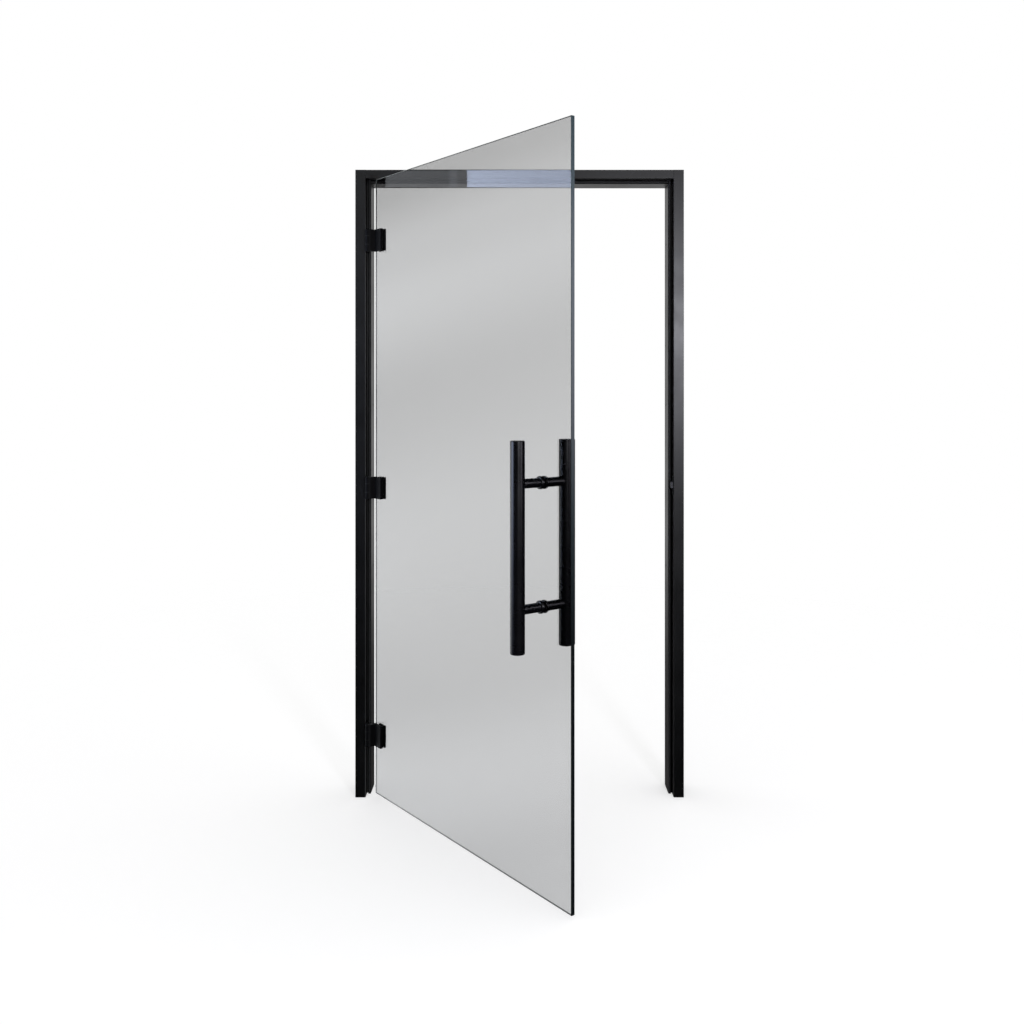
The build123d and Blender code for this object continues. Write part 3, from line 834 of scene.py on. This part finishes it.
def soft_light(name, place, target, width, height, power, colour):
    """A rectangular soft light at a place, turned towards a target."""
    lamp = bpy.data.lights.new(name, "AREA")
    lamp.shape = "RECTANGLE"
    lamp.size = width
    lamp.size_y = height
    lamp.energy = power
    lamp.color = linear(colour)[:3]
    light = bpy.data.objects.new(name, lamp)
    light.location = place
    light.rotation_euler = (Vector(target) - Vector(place)).to_track_quat("-Z", "Y").to_euler()
    bpy.context.scene.collection.objects.link(light)
    return light


class DOOR_OT_stage(bpy.types.Operator):
    """Set up the floor, the cards, the lights and the camera"""

    bl_idname = "door.stage"
    bl_label = "Stage"

    def execute(self, context):
        stage = context.scene.door_stage
        scene = context.scene
        scene.view_settings.view_transform = "Standard"

        world = bpy.data.worlds.new("studio")
        world.use_nodes = True
        tree = world.node_tree
        tree.nodes.clear()
        strength = add(
            tree,
            "ShaderNodeMapRange",
            {0: seen_directly(tree), 1: 0, 2: 1, 3: stage.ambient, 4: 1.0},
        )
        sky = add(tree, "ShaderNodeBackground", {"Color": (1, 1, 1, 1), "Strength": strength.outputs[0]})
        add(tree, "ShaderNodeOutputWorld", {"Surface": sky.outputs[0]})
        scene.world = world

        floor = flat_card("floor", (-FLOOR / 2, -FLOOR / 2, 0), (FLOOR, 0, 0), (0, FLOOR, 0))
        floor.data.materials.append(white_floor(stage))

        # The drape is a drum round the stage, and black sheets close it below and above.
        cloth = black_drape()
        turns = np.linspace(0, 2 * np.pi, 97)
        levels = np.linspace(DRAPE_FOOT, DRAPE_TOP, 19)
        angle, height = np.meshgrid(turns, levels, indexing="ij")
        drum = np.stack([DRAPE_RADIUS * np.sin(angle), -DRAPE_RADIUS * np.cos(angle), height], -1)
        only_in_reflections(sheet_grid("drape", drum), cloth)
        for name, level, material in (
            ("drape_foot", DRAPE_FOOT, cloth),
            ("drape_top", DRAPE_TOP, plain_black()),
        ):
            sheet = flat_card(name, (-SHEET / 2, -SHEET / 2, level), (SHEET, 0, 0), (0, SHEET, 0))
            only_in_reflections(sheet, material)
        left = flat_card("left_card", (-1.6, -0.45, -1.6), (0, 2.05, 0), (0, 0, 4.8))
        only_in_reflections(left, banded_card("banded_card", stage.band_strength, (0, 0.3, 1), -1.2, 2.6))
        # A narrow glowing card in the hinge gap, seen only in reflections, paints the bands on where the pane
        # would mirror the jamb: a painted reflection in place of the jamb's own.
        gap = flat_card("gap_card", (-0.4815, -0.022, -0.03), (0, 0.0345, 0), (0, 0, 2.05))
        only_in_reflections(gap, banded_card("gap_bands", stage.band_strength, (0, 0, 1), -0.636, 2.158))
        window = flat_card("window_card", (-1.59, -0.4, 2.1685), (0, 0.86, 0.0475), (0, 0, 0.0735))
        only_in_reflections(window, window_glow(stage.window_strength))
        strip = flat_card("strip_card", (-1.58, -1.4, 0.0), (0, 0.95, 0), (0, 0, 2.4))
        only_in_reflections(strip, fading_glow("strip_glow", "#d0deff", stage.strip_strength, 0.2, 1.35))
        side = flat_card("side_card", (1.75, -2.25, 0.0), (0.65, 1.15, 0), (0, 0, 2.2))
        only_in_reflections(side, fading_glow("side_glow", "#f4f0ff", stage.side_strength, 0.7, 1.45))

        key = soft_light("key_light", (1.05, -3.4, 1.7), (0.5, 0, 1.5), 0.35, 0.3, stage.key_power, "#f6f6ff")
        # The key skips the pane, which would mirror it as a white patch.
        skipped = bpy.data.collections.new("key_skips")
        skipped.objects.link(frame["nodes"]["glass_panel"])
        skipped.collection_objects[0].light_linking.link_state = "EXCLUDE"
        key.light_linking.receiver_collection = skipped

        camera = bpy.data.cameras.new("camera")
        camera.sensor_width = 36
        camera.lens = stage.lens
        camera.shift_x, camera.shift_y = stage.shift
        eye = bpy.data.objects.new("camera", camera)
        eye.location = stage.camera_place
        eye.rotation_euler = (math.radians(90), 0, 0)
        scene.collection.objects.link(eye)
        scene.camera = eye
        return {"FINISHED"}


STEPS = (DOOR_OT_frame, DOOR_OT_glass, DOOR_OT_hinges, DOOR_OT_pull, DOOR_OT_catch, DOOR_OT_stage)


class DOOR_PT_panel(bpy.types.Panel):
    """Lists the steps that dress the door"""

    bl_idname = "DOOR_PT_panel"
    bl_label = "Glass door"
    bl_space_type = "VIEW_3D"
    bl_region_type = "UI"
    bl_category = "Glass door"

    def draw(self, context):
        for step in STEPS:
            self.layout.operator(step.bl_idname)


CLASSES = (DoorFinish, DoorStage, *STEPS, DOOR_PT_panel)


def register():
    for cls in CLASSES:
        bpy.utils.register_class(cls)
    bpy.types.Scene.door_finish = bpy.props.PointerProperty(type=DoorFinish)
    bpy.types.Scene.door_stage = bpy.props.PointerProperty(type=DoorStage)


def unregister():
    del bpy.types.Scene.door_stage
    del bpy.types.Scene.door_finish
    for cls in reversed(CLASSES):
        bpy.utils.unregister_class(cls)


def main():
    """Dress the door and set the stage."""
    register()
    bpy.ops.door.frame()
    bpy.ops.door.glass()
    bpy.ops.door.hinges()
    bpy.ops.door.pull()
    bpy.ops.door.catch()
    bpy.ops.door.stage()


if __name__ == "__main__":
    main()
